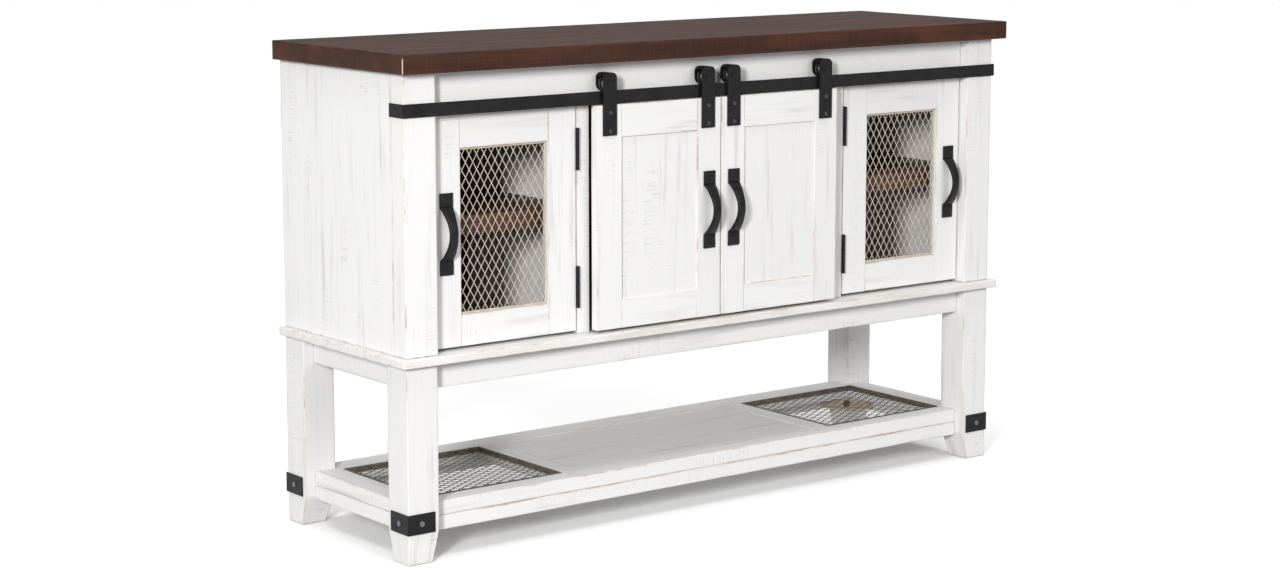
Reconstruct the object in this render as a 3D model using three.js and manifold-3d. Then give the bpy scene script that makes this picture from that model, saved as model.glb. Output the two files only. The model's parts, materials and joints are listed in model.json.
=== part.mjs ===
// Farmhouse sideboard: a painted cabinet with a dark plank top on four bracketed legs.
// Two hinged doors with wire mesh stand left and right of two sliding barn doors that hang
// on a flat steel rail. Millimetres, +X right, -Y front, +Z up.
// Origin: the floor, under the middle of the outer box.
// Mesh doors open to 95 degrees, barn doors slide 300 outwards and tilt 2.5 degrees at the foot.

import * as THREE from 'three';
import { mergeVertices } from 'three/addons/utils/BufferGeometryUtils.js';
import Module from 'manifold-3d';

const wasm = await Module();
wasm.setup();

// ---------- driving dimensions ----------

const gap = 0.3;                 // between pieces that touch

const bodyW = 1486;              // over the legs and posts
const bodyD = 438;
const topW = 1524;
const topFront = 28;             // overhang of the top past the front
const topBottomZ = 911;
const topZ = 948;

const ledgeBottomZ = 373;        // waist ledge, which is the cabinet floor too
const ledgeTopZ = 389;
const ledgeOver = 14.5;          // overhang at the sides and the front

const legSize = 68;
const legFootSize = 52;          // the two inner faces taper to this at the floor
const taperZ = 58;

const postW = 70;                // front corner posts
const postD = 42;
const sideT = 18;                // side panels
const backT = 10;

const faceRecess = 22;           // doors, header and aprons behind the legs' front
const boardT = 20;

const apronBottomZ = 323;

const lowRailBottomZ = 52;       // rails under the lower shelf
const lowRailTopZ = 80;
const lowShelfTopZ = 107.5;
const lowHoleInX = 347;          // openings in the lower shelf
const lowHoleOutX = 667;
const lowHoleFrontY = -153;
const lowHoleBackY = 134;

const headerBottomZ = 832;
const stileInX = 311;            // hinge stile in front of each partition
const stileOutX = 339.5;
const partitionInX = 302;
const partitionT = 18;

const doorBottomZ = 395;
const doorTopZ = 829;
const meshDoorInX = 342.5;
const meshDoorOutX = 670.5;
const meshStile = 64;
const meshTopRail = 63;
const meshBottomRail = 59;

const barnW = 303;               // barn doors, which meet a little left of the middle
const barnMeetX = -9;
const barnMeetGap = 3;
const barnStile = 59;
const barnTopRail = 63;
const barnBottomRail = 56;
const barnRecess = 4;            // plank panel behind the frame's face

const railBottomZ = 831;         // flat steel bar
const railTopZ = 856;
const railT = 4;
const railReturn = 42;           // along the cabinet's sides

const strapW = 32;               // hanger straps, folded over the rollers
const strapT = 3;
const strapBottomZ = 770.5;
const strapTopZ = 891;
const strapOutX = 123;           // hanger from the door's middle, on the door's left
const strapInX = 118;            // and on its right
const strapFrontGap = 4.2;       // strap in front of the rail
const loopDepth = 25.5;

const rollR = 13.5;              // groove of the roller, on the rail's top edge
const flangeR = 17;
const axleR = 4;

const shelfZ = 634;              // top of the shelf behind each mesh door
const shelfEdge = 36;
const shelfT = 16;

const pullH = 153;               // door pulls
const pullPad = 29;
const pullMid = 15;
const pullOut = 27;
const pullBottomZ = 532;
const pullX = 639;               // on the mesh doors

const bracketZ = 58;             // corner brackets
const bracketH = 38.5;
const bracketArm = 58;
const bracketT = 2.5;
const bracketScrew = 2;          // height of its screw heads

const knuckleR = 4.5;            // butt hinges
const hingeH = 81;
const hingeZ = [440, 706];
const hingeX = 341;

// ---------- derived planes ----------

const halfW = bodyW / 2;
const halfD = bodyD / 2;
const faceY = -halfD + faceRecess;
const faceBackY = faceY + boardT;
const railBackY = -halfD - gap;
const railFrontY = railBackY - railT;
const strapBackY = railFrontY - strapFrontGap;
const strapFrontY = strapBackY - strapT;
const barnFrontY = strapBackY + gap;
const barnBackY = barnFrontY + boardT;
const axleZ = railTopZ + gap + rollR;
const hingeY = faceY - knuckleR - gap;
const pullPadT = 2.5;
const frontMostY = barnFrontY - gap - pullPadT - pullOut;
const backMostY = halfD + gap + bracketT + bracketScrew;
const originY = (frontMostY + backMostY) / 2;

// ---------- materials ----------

function paint(color, roughness, metalness) {
  return new THREE.MeshStandardMaterial({ color, roughness, metalness });
}

const whitePaint = () => paint(0xece9e4, 0.6, 0);
const darkWood = () => paint(0x54382d, 0.55, 0);
const innerWood = () => paint(0x5a4536, 0.65, 0);
const blackSteel = () => paint(0x2a2829, 0.45, 0.6);
const paleWire = () => paint(0xc9baa4, 0.4, 0.7);
const bronzeWire = () => paint(0x9c9284, 0.4, 0.7);

// ---------- shape helpers ----------

function box(x0, x1, y0, y1, z0, z1) {
  const g = new THREE.BoxGeometry(x1 - x0, y1 - y0, z1 - z0);
  return g.translate((x0 + x1) / 2, (y0 + y1) / 2, (z0 + z1) / 2);
}

// a plan outline (x, y) raised from z0 to z1, its edges eased by bevel
function plan(points, z0, z1, bevel = 0) {
  const shape = new THREE.Shape(points.map(([x, y]) => new THREE.Vector2(x, y)));
  const g = new THREE.ExtrudeGeometry(shape, {
    depth: z1 - z0 - 2 * bevel,
    bevelEnabled: bevel > 0,
    bevelSize: bevel,
    bevelOffset: -bevel,
    bevelThickness: bevel,
    bevelSegments: 1,
    curveSegments: 1,
  });
  return g.translate(0, 0, z0 + bevel);
}

// a front outline (x, z) running back from y0 to y1
function front(points, y0, y1) {
  const g = plan(points, 0, y1 - y0);
  return g.rotateX(Math.PI / 2).translate(0, y1, 0);
}

// a side outline (y, z) running across from x0 to x1
function side(points, x0, x1) {
  const g = plan(points, 0, x1 - x0);
  return g.rotateZ(Math.PI / 2).rotateY(Math.PI / 2).translate(x0, 0, 0);
}

function rectangle(x0, x1, y0, y1) {
  return [[x0, y0], [x1, y0], [x1, y1], [x0, y1]];
}

function roundedTop(x0, x1, z0, z1, r, steps = 5) {
  const points = [[x0, z0], [x1, z0]];
  for (let i = 0; i <= steps; i += 1) {
    const a = (Math.PI / 2) * (i / steps);
    points.push([x1 - r + r * Math.cos(a), z1 - r + r * Math.sin(a)]);
  }
  for (let i = 0; i <= steps; i += 1) {
    const a = (Math.PI / 2) * (1 + i / steps);
    points.push([x0 + r + r * Math.cos(a), z1 - r + r * Math.sin(a)]);
  }
  return points;
}

// the lower half of a circle, from its left end to its right end
function halfRound(x, z, r, steps = 10) {
  const points = [];
  for (let i = 0; i <= steps; i += 1) {
    const a = Math.PI * (1 + i / steps);
    points.push([x + r * Math.cos(a), z + r * Math.sin(a)]);
  }
  return points;
}

// a disc or rod along Y
function rodY(x, z, r, y0, y1, sides = 20) {
  const g = new THREE.CylinderGeometry(r, r, y1 - y0, sides);
  return g.translate(x, (y0 + y1) / 2, 0).translate(0, 0, z);
}

// a rod along Z
function rodZ(x, y, r, z0, z1, sides = 20) {
  const g = new THREE.CylinderGeometry(r, r, z1 - z0, sides).rotateX(Math.PI / 2);
  return g.translate(x, y, (z0 + z1) / 2);
}

// a domed screw head along Y or X, its flat side at "at", bulging towards "way"
function screwHead(axis, way, at, u, z, r = 4, h = 1.8) {
  const profile = [[0, 0], [r, 0], [r * 0.86, h * 0.62], [r * 0.5, h * 0.93], [0, h]];
  const g = new THREE.LatheGeometry(profile.map(([a, b]) => new THREE.Vector2(a, b)), 12);
  if (axis === 'y') {
    if (way < 0) g.rotateX(Math.PI);
    return g.translate(u, at, z);
  }
  g.rotateZ(way < 0 ? Math.PI / 2 : -Math.PI / 2);
  return g.translate(at, u, z);
}

function toSolid(geometry) {
  const bare = geometry.clone();
  bare.deleteAttribute('normal');
  bare.deleteAttribute('uv');
  const merged = mergeVertices(bare, 1e-4);
  return new wasm.Manifold(new wasm.Mesh({
    numProp: 3,
    vertProperties: new Float32Array(merged.attributes.position.array),
    triVerts: new Uint32Array(merged.index.array),
  }));
}

function toGeometry(solid) {
  const mesh = solid.getMesh();
  const g = new THREE.BufferGeometry();
  g.setAttribute('position', new THREE.BufferAttribute(new Float32Array(mesh.vertProperties), 3));
  g.setIndex(new THREE.BufferAttribute(new Uint32Array(mesh.triVerts), 1));
  g.computeVertexNormals();
  return g;
}

function join(...parts) {
  return toGeometry(parts.map(toSolid).reduce((a, b) => a.add(b)));
}

function cut(from, ...parts) {
  return toGeometry(parts.map(toSolid).reduce((a, b) => a.subtract(b), toSolid(from)));
}

function common(a, b) {
  return toGeometry(toSolid(a).intersect(toSolid(b)));
}

const sideboard = new THREE.Group();
sideboard.name = 'sideboard';
const frame = new THREE.Group();
frame.position.y = -originY;
sideboard.add(frame);

function add(name, geometry, material, at = [0, 0, 0]) {
  const mesh = new THREE.Mesh(geometry, material);
  mesh.name = name;
  mesh.position.set(...at);
  frame.add(mesh);
}

const sides = [['left', -1], ['right', 1]];

function spanX(s, a, b) {
  return s < 0 ? [-b, -a] : [a, b];
}

// ---------- top, ledge and carcass ----------

add('top_slab',
  plan(rectangle(-topW / 2, topW / 2, -halfD - topFront, halfD), topBottomZ, topZ, 2),
  darkWood());

add('waist_ledge',
  plan(rectangle(-halfW - ledgeOver, halfW + ledgeOver, -halfD - ledgeOver, halfD),
    ledgeBottomZ, ledgeTopZ, 2),
  whitePaint());

const roomZ0 = ledgeTopZ + gap;
const roomZ1 = topBottomZ - gap;

for (const [name, s] of sides) {
  // front corner post and side panel, glued up as one cabinet end
  const end = [
    [halfW, -halfD], [halfW, halfD], [halfW - sideT, halfD], [halfW - sideT, -halfD + postD],
    [halfW - postW, -halfD + postD], [halfW - postW, -halfD],
  ].map(([x, y]) => [s * x, y]);
  add(`cabinet_end_${name}`, plan(s < 0 ? end.reverse() : end, roomZ0, roomZ1), whitePaint());

  // partition with the hinge stile at its front
  const [sx0, sx1] = spanX(s, stileInX, stileOutX);
  const [px0, px1] = spanX(s, partitionInX, partitionInX + partitionT);
  add(`partition_${name}`, join(
    box(sx0, sx1, faceY, faceBackY, roomZ0, headerBottomZ - gap),
    box(px0, px1, faceBackY - 2, halfD - backT - gap, roomZ0, headerBottomZ - gap),
    box(px0, px1, faceBackY + gap, halfD - backT - gap, roomZ0, roomZ1),
  ), whitePaint());

  // shelf behind the mesh door, with a deep front edge
  const [x0, x1] = spanX(s, partitionInX + partitionT + gap, halfW - sideT - gap);
  const shelfFrontY = -160;
  const shelfBackY = halfD - backT - gap;
  add(`shelf_${name}`, side([
    [shelfFrontY, shelfZ - shelfEdge], [shelfFrontY + 20, shelfZ - shelfEdge],
    [shelfFrontY + 20, shelfZ - shelfT], [shelfBackY, shelfZ - shelfT],
    [shelfBackY, shelfZ], [shelfFrontY, shelfZ],
  ], x0, x1), innerWood());
}

add('back_panel',
  box(-halfW + sideT + gap, halfW - sideT - gap, halfD - backT, halfD, roomZ0, roomZ1),
  innerWood());

add('header_rail',
  box(-halfW + postW + gap, halfW - postW - gap, faceY, faceBackY, headerBottomZ, roomZ1),
  whitePaint());

// ---------- legs, aprons, lower shelf ----------

const legRange = [['fl', -1, -1], ['fr', 1, -1], ['bl', -1, 1], ['br', 1, 1]];

// one tapered leg face: straight on the outside, tapering inwards near the floor
function taperedOutline(out, s) {
  const points = [
    [out, 0], [out, ledgeBottomZ - gap], [out - legSize, ledgeBottomZ - gap],
    [out - legSize, taperZ], [out - legFootSize, 0],
  ].map(([u, z]) => [s * u, z]);
  return s < 0 ? points : points.reverse();
}

for (const [name, sx, sy] of legRange) {
  add(`leg_${name}`, common(
    front(taperedOutline(halfW, sx), -halfD - 5, halfD + 5),
    side(taperedOutline(halfD, sy), -halfW - 5, halfW + 5),
  ), whitePaint());
}

const legInX = halfW - legSize - gap;
const legInY = halfD - legSize - gap;
const sideFaceX = halfW - faceRecess;

// a set of four rails between the legs
function railSet(prefix, z0, z1) {
  add(`${prefix}_front`, box(-legInX, legInX, faceY, faceBackY, z0, z1), whitePaint());
  add(`${prefix}_back`, box(-legInX, legInX, -faceBackY, -faceY, z0, z1), whitePaint());
  for (const [name, s] of sides) {
    const [x0, x1] = spanX(s, sideFaceX - boardT, sideFaceX);
    add(`${prefix}_${name}`, box(x0, x1, -legInY, legInY, z0, z1), whitePaint());
  }
}

railSet('apron', apronBottomZ, ledgeBottomZ - gap);
railSet('lower_rail', lowRailBottomZ, lowRailTopZ - gap);

const shelfPlan = [
  [-legInX, faceY], [legInX, faceY], [legInX, -legInY], [sideFaceX, -legInY],
  [sideFaceX, legInY], [legInX, legInY], [legInX, -faceY], [-legInX, -faceY],
  [-legInX, legInY], [-sideFaceX, legInY], [-sideFaceX, -legInY], [-legInX, -legInY],
];
const shelfHoles = sides.map(([, s]) => {
  const [x0, x1] = spanX(s, lowHoleInX, lowHoleOutX);
  return box(x0, x1, lowHoleFrontY, lowHoleBackY, lowRailTopZ - 5, lowShelfTopZ + 5);
});
add('lower_shelf', cut(plan(shelfPlan, lowRailTopZ, lowShelfTopZ), ...shelfHoles), whitePaint());

// ---------- wire mesh ----------

function clipped(points, inside, meet) {
  const out = [];
  points.forEach((p, i) => {
    const q = points[(i + 1) % points.length];
    if (inside(p)) out.push(p);
    if (inside(p) !== inside(q)) out.push(meet(p, q));
  });
  return out;
}

// the part of a polygon inside a rectangle
function clipToRectangle(points, [x0, x1, y0, y1]) {
  const cross = (k, v) => (p, q) => {
    const t = (v - p[k]) / (q[k] - p[k]);
    return [p[0] + t * (q[0] - p[0]), p[1] + t * (q[1] - p[1])];
  };
  let out = clipped(points, (p) => p[0] > x0, cross(0, x0));
  out = clipped(out, (p) => p[0] < x1, cross(0, x1));
  out = clipped(out, (p) => p[1] > y0, cross(1, y0));
  return clipped(out, (p) => p[1] < y1, cross(1, y1));
}

// diamond openings of a wire mesh with nu by nv cells inside a rim
function diamondHoles(u0, u1, v0, v1, nu, nv, wire) {
  const cu = (u1 - u0) / nu;
  const cv = (v1 - v0) / nv;
  const reach = (cu * cv) / 4 / Math.hypot(cu / 2, cv / 2);
  const k = 1 - wire / 2 / reach;
  const holes = [];
  for (let i = 0; i <= 2 * nu; i += 1) {
    for (let j = i % 2; j <= 2 * nv; j += 2) {
      const [u, v] = [u0 + (i * cu) / 2, v0 + (j * cv) / 2];
      const [du, dv] = [(k * cu) / 2, (k * cv) / 2];
      const diamond = [[u - du, v], [u, v - dv], [u + du, v], [u, v + dv]];
      const hole = clipToRectangle(diamond, [u0, u1, v0, v1]);
      if (hole.length > 2) holes.push(hole);
    }
  }
  return holes;
}

const wireT = 2.4;

for (const [name, s] of sides) {
  const [x0, x1] = spanX(s, lowHoleInX + gap, lowHoleOutX - gap);
  const [y0, y1] = [lowHoleFrontY + gap, lowHoleBackY - gap];
  const rim = 5;
  const holes = diamondHoles(x0 + rim, x1 - rim, y0 + rim, y1 - rim, 6, 3, wireT);
  add(`shelf_mesh_${name}`, cut(
    box(x0, x1, y0, y1, lowShelfTopZ - 8, lowShelfTopZ - 4),
    ...holes.map((hole) => plan(hole, lowShelfTopZ - 9, lowShelfTopZ - 3)),
  ), bronzeWire());
}

// ---------- corner brackets ----------

for (const [name, sx, sy] of legRange) {
  const [ox, oy] = [halfW + gap, halfD + gap];
  const corner = [
    [ox, oy], [ox, oy - bracketArm], [ox + bracketT, oy - bracketArm],
    [ox + bracketT, oy + bracketT], [ox - bracketArm, oy + bracketT], [ox - bracketArm, oy],
  ].map(([x, y]) => [sx * x, sy * y]);
  const angle = plan(sx * sy < 0 ? corner.reverse() : corner, bracketZ, bracketZ + bracketH);
  const z = bracketZ + bracketH / 2;
  add(`corner_bracket_${name}`, join(
    angle,
    screwHead('x', sx, sx * (ox + bracketT - 0.4), sy * (oy - 28), z, 5, bracketScrew + 0.4),
    screwHead('y', sy, sy * (oy + bracketT - 0.4), sx * (ox - 28), z, 5, bracketScrew + 0.4),
  ), blackSteel());
}

// ---------- door pulls ----------

// forged pull: square pads, a bowed grip that narrows in the middle, a screw in each pad
function pull(x, y, z) {
  const half = pullPad / 2;
  const steps = 14;
  const shape = [];
  const width = (t) => half + (pullMid / 2 - half) * Math.sin(Math.PI * t) ** 0.6;
  const gripH = pullH - 2 * pullPad + 6;
  const gripZ = pullPad - 3;
  const edge = [[half, 0]];
  for (let i = 0; i <= steps; i += 1) edge.push([width(i / steps), gripZ + (gripH * i) / steps]);
  edge.push([half, pullH]);
  shape.push(...edge, ...edge.map(([u, v]) => [-u, v]).reverse());

  const bow = (t) => pullPadT + pullOut * Math.sin(Math.PI * t) ** 0.75;
  const outer = [];
  const inner = [];
  for (let i = 0; i <= steps; i += 1) {
    const t = i / steps;
    outer.push([-bow(t), gripZ + gripH * t]);
    const ti = 0.07 + 0.86 * t;
    inner.push([-Math.max(0, (pullOut - 3) * Math.sin(Math.PI * t) ** 0.75), gripZ + gripH * ti]);
  }
  const profile = [
    [0, 0], ...inner, [0, pullH], [-pullPadT, pullH], ...outer.reverse(), [-pullPadT, 0],
  ];
  const body = common(
    front(shape, -pullOut - 10, 5),
    side(profile.reverse(), -pullPad, pullPad),
  );
  const heads = [half, pullH - half].map((v) => screwHead('y', -1, -pullPadT + 0.4, 0, v, 4.5, 2));
  return join(body, ...heads).translate(x, y - gap, z);
}

// ---------- mesh doors on butt hinges ----------

for (const [name, s] of sides) {
  const [x0, x1] = spanX(s, meshDoorInX, meshDoorOutX);
  const [hx0, hx1] = spanX(s, meshDoorInX + meshStile, meshDoorOutX - meshStile);
  const [hz0, hz1] = [doorBottomZ + meshBottomRail, doorTopZ - meshTopRail];
  add(`mesh_door_frame_${name}`, cut(
    box(x0, x1, faceY, faceBackY, doorBottomZ, doorTopZ),
    box(hx0, hx1, faceY - 5, faceBackY + 5, hz0, hz1),
  ), whitePaint());

  const rim = 6;
  const [mx0, mx1, mz0, mz1] = [hx0 + gap, hx1 - gap, hz0 + gap, hz1 - gap];
  const holes = diamondHoles(mx0 + rim, mx1 - rim, mz0 + rim, mz1 - rim, 4, 4, wireT);
  add(`mesh_panel_${name}`, cut(
    box(mx0, mx1, faceY + 6, faceY + 10, mz0, mz1),
    ...holes.map((hole) => front(hole, faceY + 5, faceY + 11)),
  ), paleWire());

  add(`mesh_door_pull_${name}`, pull(s * pullX, faceY, pullBottomZ), blackSteel());

  hingeZ.forEach((z0, i) => {
    const level = ['lower', 'upper'][i];
    const third = hingeH / 3;
    const [f0, f1] = spanX(s, hingeX - 1.2, hingeX - 0.2);
    const [m0, m1] = spanX(s, hingeX + 0.2, hingeX + 1.2);
    const leafFrontY = hingeY + knuckleR + gap;
    const leafBackY = faceBackY - 2;
    const [zA, zB] = [z0 + third - gap, z0 + 2 * third + gap];
    const z1 = z0 + hingeH;
    add(`hinge_${level}_${name}_fixed`, join(
      box(f0, f1, leafFrontY, leafBackY, z0, z1),
      box(f0, f1, hingeY, leafFrontY + 1, z0, zA),
      box(f0, f1, hingeY, leafFrontY + 1, zB, z1),
      rodZ(s * hingeX, hingeY, knuckleR, z0, zA),
      rodZ(s * hingeX, hingeY, knuckleR, zB, z1),
      rodZ(s * hingeX, hingeY, 2, z0 + 2, z1 - 2, 16),
    ), blackSteel());
    add(`hinge_${level}_${name}_leaf`, cut(join(
      box(m0, m1, leafFrontY, leafBackY, z0, z1),
      box(m0, m1, hingeY, leafFrontY + 1, zA + gap, zB - gap),
      rodZ(s * hingeX, hingeY, knuckleR, zA + gap, zB - gap),
    ), rodZ(s * hingeX, hingeY, 2.4, z0 - 5, z1 + 5, 16)), blackSteel());
  });
}

// ---------- barn rail, hangers, rollers ----------

const railX = halfW + gap;
const railPlan = [
  [-railX - railT, railFrontY], [railX + railT, railFrontY],
  [railX + railT, railBackY + railReturn], [railX, railBackY + railReturn], [railX, railBackY],
  [-railX, railBackY], [-railX, railBackY + railReturn], [-railX - railT, railBackY + railReturn],
];
add('barn_rail', join(
  plan(railPlan, railBottomZ, railTopZ),
  ...[-1, 1].map((s) => screwHead('x', s, s * (railX + railT - 0.4), railBackY + 19,
    (railBottomZ + railTopZ) / 2, 4.5, 2.2)),
), blackSteel());

const backPlateY = strapFrontY + loopDepth;
const rollerMidY = (railBackY + railFrontY) / 2;

// strap folded over the roller: a long front plate, a bridge, and a short round-ended back plate
function hanger(x) {
  const r = 11;
  const [x0, x1] = [x - strapW / 2, x + strapW / 2];
  const whole = roundedTop(x0, x1, strapBottomZ, strapTopZ, r);
  const short = [
    ...halfRound(x, axleZ, strapW / 2),
    ...roundedTop(x0, x1, axleZ, strapTopZ, r).slice(2),
  ];
  const ring = common(
    front(whole, strapFrontY, backPlateY),
    box(x0 - 1, x1 + 1, strapFrontY - 1, backPlateY + 1, axleZ, strapTopZ + 1),
  );
  const hollow = front(
    roundedTop(x0 + strapT, x1 - strapT, axleZ - 60, strapTopZ - strapT, r - 3),
    strapBackY, backPlateY - strapT,
  );
  const window = box(x0 - 5, x1 + 5, strapBackY, backPlateY - strapT, axleZ - 60, strapTopZ - 6);
  const body = join(
    front(whole, strapFrontY, strapBackY),
    cut(ring, hollow, window),
    front(short, backPlateY - strapT, backPlateY),
  );
  const drilled = cut(body, rodY(x, axleZ, axleR + 0.7, strapFrontY - 5, backPlateY + 5, 24));
  const screws = [780, 815].map((z) => screwHead('y', -1, strapFrontY + 0.4, x, z, 4.2, 2));
  return join(drilled, ...screws);
}

// grooved wheel that straddles the rail's top edge, turned about Y
function roller() {
  const f0 = strapBackY + 1 - rollerMidY;
  const groove = railT / 2 + 0.35;
  const b1 = 7.5;
  const hub = backPlateY - strapT - 1.2 - rollerMidY;
  const bore = axleR + 0.35;
  const profile = [
    [bore, f0], [flangeR - 1, f0], [flangeR, f0 + 1], [flangeR, -groove], [rollR, -groove],
    [rollR, groove], [flangeR, groove], [flangeR, b1 - 1], [flangeR - 1, b1], [9, b1],
    [9, hub], [bore, hub], [bore, f0],
  ];
  return new THREE.LatheGeometry(profile.map(([a, b]) => new THREE.Vector2(a, b)), 20);
}

function axle() {
  const head = 6.5;
  const y0 = strapFrontY - 0.4;
  const profile = [
    [0, y0 - 2.6], [head * 0.6, y0 - 2.2], [head, y0 - 1], [head, y0], [axleR, y0],
    [axleR, backPlateY + 1.5], [0, backPlateY + 1.5],
  ];
  return new THREE.LatheGeometry(profile.map(([a, b]) => new THREE.Vector2(a, b)), 20);
}

const barnDoors = [
  ['left', barnMeetX - barnMeetGap / 2 - barnW / 2, 'outer', 'inner', 1],
  ['right', barnMeetX + barnMeetGap / 2 + barnW / 2, 'inner', 'outer', -1],
];

for (const [name, cx, atLeft, atRight, meetSide] of barnDoors) {
  const [x0, x1] = [cx - barnW / 2, cx + barnW / 2];
  const [px0, px1] = [x0 + barnStile, x1 - barnStile];
  const [pz0, pz1] = [doorBottomZ + barnBottomRail, doorTopZ - barnTopRail];
  add(`barn_door_panel_${name}`, cut(
    box(x0, x1, barnFrontY, barnBackY, doorBottomZ, doorTopZ),
    box(px0, px1, barnFrontY - 5, barnFrontY + barnRecess, pz0, pz1),
    box(px0, px1, barnBackY - 4, barnBackY + 5, pz0, pz1),
  ), whitePaint());

  const pullAt = cx + meetSide * (barnW / 2 - barnStile / 2);
  add(`barn_door_pull_${name}`, pull(pullAt, barnFrontY, pullBottomZ), blackSteel());

  for (const [end, x] of [[atLeft, cx - strapOutX], [atRight, cx + strapInX]]) {
    add(`hanger_${name}_${end}`, hanger(x), blackSteel());
    add(`roller_${name}_${end}`, roller(), blackSteel(), [x, rollerMidY, axleZ]);
    add(`axle_${name}_${end}`, axle(), blackSteel(), [x, 0, axleZ]);
  }
}

export default sideboard;
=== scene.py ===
import json
import math

import bpy
import numpy as np
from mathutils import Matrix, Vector, noise

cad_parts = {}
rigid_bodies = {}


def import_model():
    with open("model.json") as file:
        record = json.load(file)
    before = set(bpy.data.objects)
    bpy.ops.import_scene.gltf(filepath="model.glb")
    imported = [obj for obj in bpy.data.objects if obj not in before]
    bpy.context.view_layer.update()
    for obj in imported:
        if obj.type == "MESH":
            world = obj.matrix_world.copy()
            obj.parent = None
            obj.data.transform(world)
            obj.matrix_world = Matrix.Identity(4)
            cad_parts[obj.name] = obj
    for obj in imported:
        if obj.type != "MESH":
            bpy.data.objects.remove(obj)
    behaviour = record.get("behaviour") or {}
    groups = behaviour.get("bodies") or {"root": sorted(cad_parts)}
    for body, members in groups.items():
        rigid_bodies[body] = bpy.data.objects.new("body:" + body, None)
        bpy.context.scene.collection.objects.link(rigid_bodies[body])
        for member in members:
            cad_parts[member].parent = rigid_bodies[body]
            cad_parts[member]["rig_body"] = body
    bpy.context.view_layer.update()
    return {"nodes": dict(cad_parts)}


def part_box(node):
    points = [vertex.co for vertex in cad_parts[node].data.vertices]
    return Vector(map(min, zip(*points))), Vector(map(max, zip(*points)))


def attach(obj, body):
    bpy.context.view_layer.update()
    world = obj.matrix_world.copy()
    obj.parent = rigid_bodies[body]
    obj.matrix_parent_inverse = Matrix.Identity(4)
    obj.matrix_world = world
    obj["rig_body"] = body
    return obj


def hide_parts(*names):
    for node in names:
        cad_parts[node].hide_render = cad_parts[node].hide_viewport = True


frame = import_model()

# X runs to the right, Y to the back and Z up, in metres. The sizes of pieces are in millimetres.
MM = 0.001
GAP = 0.3  # between pieces that touch
NODES = frame["nodes"]
BODY_OF = {node: piece["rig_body"] for node, piece in NODES.items()}
SIDES = (("left", -1), ("right", 1))
LEGS = {"fl": (-1, -1), "fr": (1, -1), "bl": (-1, 1), "br": (1, 1)}

# ---------- camera ----------
# The photograph's viewpoint, in metres and radians.

CAMERA_AT = (-3.2951, -4.2129, 1.3131)
CAMERA_YAW = 0.65648
CAMERA_PITCH = 0.14791
CAMERA_LENS = 74.304
CAMERA_SHIFT = -0.04


def make_camera():
    data = bpy.data.cameras.new("camera")
    data.sensor_width = 36
    data.lens = CAMERA_LENS
    data.shift_y = CAMERA_SHIFT
    camera = bpy.data.objects.new("camera", data)
    camera.location = CAMERA_AT
    camera.rotation_euler = (math.pi / 2 - CAMERA_PITCH, 0, -CAMERA_YAW)
    bpy.context.scene.collection.objects.link(camera)
    bpy.context.scene.camera = camera


make_camera()

# ---------- material helper ----------


class Shade:
    """A material and short names for the nodes that it is made of."""

    def __init__(self, name):
        self.material = bpy.data.materials.new(name)
        self.material.use_nodes = True
        self.tree = self.material.node_tree
        self.bsdf = self.tree.nodes["Principled BSDF"]

    def put(self, socket, value):
        if isinstance(value, bpy.types.NodeSocket):
            self.tree.links.new(value, socket)
        else:
            socket.default_value = value

    def node(self, kind, inputs=(), **settings):
        made = self.tree.nodes.new(kind)
        for key, value in settings.items():
            setattr(made, key, value)
        for key, value in dict(inputs).items():
            self.put(made.inputs[key], value)
        return made

    def attribute(self, name, output):
        return self.node("ShaderNodeAttribute", attribute_name=name).outputs[output]

    def place(self):
        return self.node("ShaderNodeTexCoord").outputs["Object"]

    def stretch(self, vector, x, y, z):
        made = self.node("ShaderNodeVectorMath", {0: vector, 1: (x, y, z)}, operation="MULTIPLY")
        return made.outputs[0]

    def noise(self, vector, scale=1.0, detail=3.0, rough=0.5, warp=0.0):
        made = self.node("ShaderNodeTexNoise", {
            "Vector": vector, "Scale": scale, "Detail": detail, "Roughness": rough,
            "Distortion": warp})
        return made.outputs["Fac"]

    def math(self, kind, a, b=0.0):
        return self.node("ShaderNodeMath", {0: a, 1: b}, operation=kind).outputs[0]

    def ramp(self, value, low, high, to_low=0.0, to_high=1.0):
        made = self.node("ShaderNodeMapRange", {
            "Value": value, "From Min": low, "From Max": high, "To Min": to_low,
            "To Max": to_high}, interpolation_type="SMOOTHSTEP")
        return made.outputs[0]

    def mix(self, share, a, b):
        made = self.node("ShaderNodeMix", data_type="RGBA")
        self.put(made.inputs[0], share)
        for socket, value in ((made.inputs[6], a), (made.inputs[7], b)):
            self.put(socket, value if isinstance(value, bpy.types.NodeSocket) else (*value, 1))
        return made.outputs[2]

    def bump(self, height, strength, distance):
        inputs = {"Height": height, "Strength": strength, "Distance": distance}
        return self.node("ShaderNodeBump", inputs).outputs[0]

    def done(self, color, roughness, normal=None, **fixed):
        """The material. fixed holds constants for more of the shader's own sockets."""
        self.put(self.bsdf.inputs["Base Color"], color)
        self.put(self.bsdf.inputs["Roughness"], roughness)
        if normal is not None:
            self.put(self.bsdf.inputs["Normal"], normal)
        for key, value in fixed.items():
            self.bsdf.inputs[key.replace("_", " ")].default_value = value
        return self.material


# ---------- materials ----------
# "grain" holds a board's own coordinates, its length first; "edge" the distance to its nearest
# arris in metres; "tone" one number per board; "bare" marks where the finish is gone.


def times(color, factor):
    return tuple(c * factor for c in color)


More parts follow.
